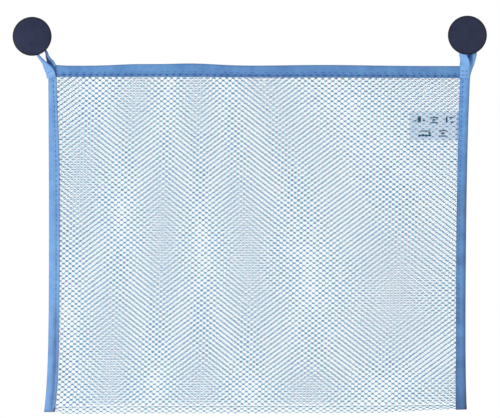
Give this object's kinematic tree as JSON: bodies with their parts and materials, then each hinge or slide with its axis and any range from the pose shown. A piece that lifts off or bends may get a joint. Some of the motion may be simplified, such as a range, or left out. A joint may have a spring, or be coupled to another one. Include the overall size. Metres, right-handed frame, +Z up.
{
  "type": "bath toy organizer",
  "caption": "Flat net bag with tape-bound sides and top, hung by two tape loops from round-knobbed suction cups, for holding and draining bath toys.",
  "frame": {"origin": "on the wall plane, midway between the axes of the two suction cups", "axes": "+X to the right as seen from the room, +Y into the wall, +Z up; the object lies on the -Y side of the wall plane"},
  "size_m": [0.486, 0.0262, 0.406],
  "materials": {
    "navy_plastic": "fine matt",
    "navy_soft_plastic": "smooth, slightly shiny",
    "blue_tape": "woven tape",
    "net": "knitted net",
    "blue_thread": "sewing thread",
    "white_label": "smooth ribbon"
  },
  "bodies": {
    "left_anchor": {"left_suction_cup": "navy_soft_plastic", "left_knob": "navy_plastic", "left_loop": "blue_tape"},
    "bag": {"back_net": "net", "net_fold": "net", "back_hem": "blue_tape", "back_hem_thread": "blue_thread", "left_side_binding": "blue_tape", "left_side_thread": "blue_thread", "left_loop_end": "blue_tape", "left_loop_tack": "blue_thread", "right_side_binding": "blue_tape", "right_side_thread": "blue_thread", "right_loop_end": "blue_tape", "right_loop_tack": "blue_thread", "care_label": "white_label"},
    "front": {"front_net": "net", "front_hem": "blue_tape", "front_hem_thread": "blue_thread"},
    "right_anchor": {"right_suction_cup": "navy_soft_plastic", "right_knob": "navy_plastic", "right_loop": "blue_tape"}
  },
  "joints": [
    {"name": "bag_swing", "type": "hinge", "parent": "left_anchor", "child": "bag", "pos_m": [0, -0.01715, -0.031], "axis": [-1, 0, 0], "range_deg": [0, 75]},
    {"name": "right_anchor_level", "type": "hinge", "parent": "bag", "child": "right_anchor", "pos_m": [0, -0.01715, -0.031], "axis": [-1, 0, 0], "range_deg": [-75, 0]},
    {"name": "mouth_open", "type": "hinge", "parent": "bag", "child": "front", "pos_m": [0.008, -0.01506, -0.3813], "axis": [1, 0, 0], "range_deg": [0, 12], "stiffness_Nm_per_rad": 0.3, "springref_deg": -1.15}
  ],
  "couplings": [
    {"joint": "right_anchor_level", "follows": "bag_swing", "ratio": -1}
  ]
}
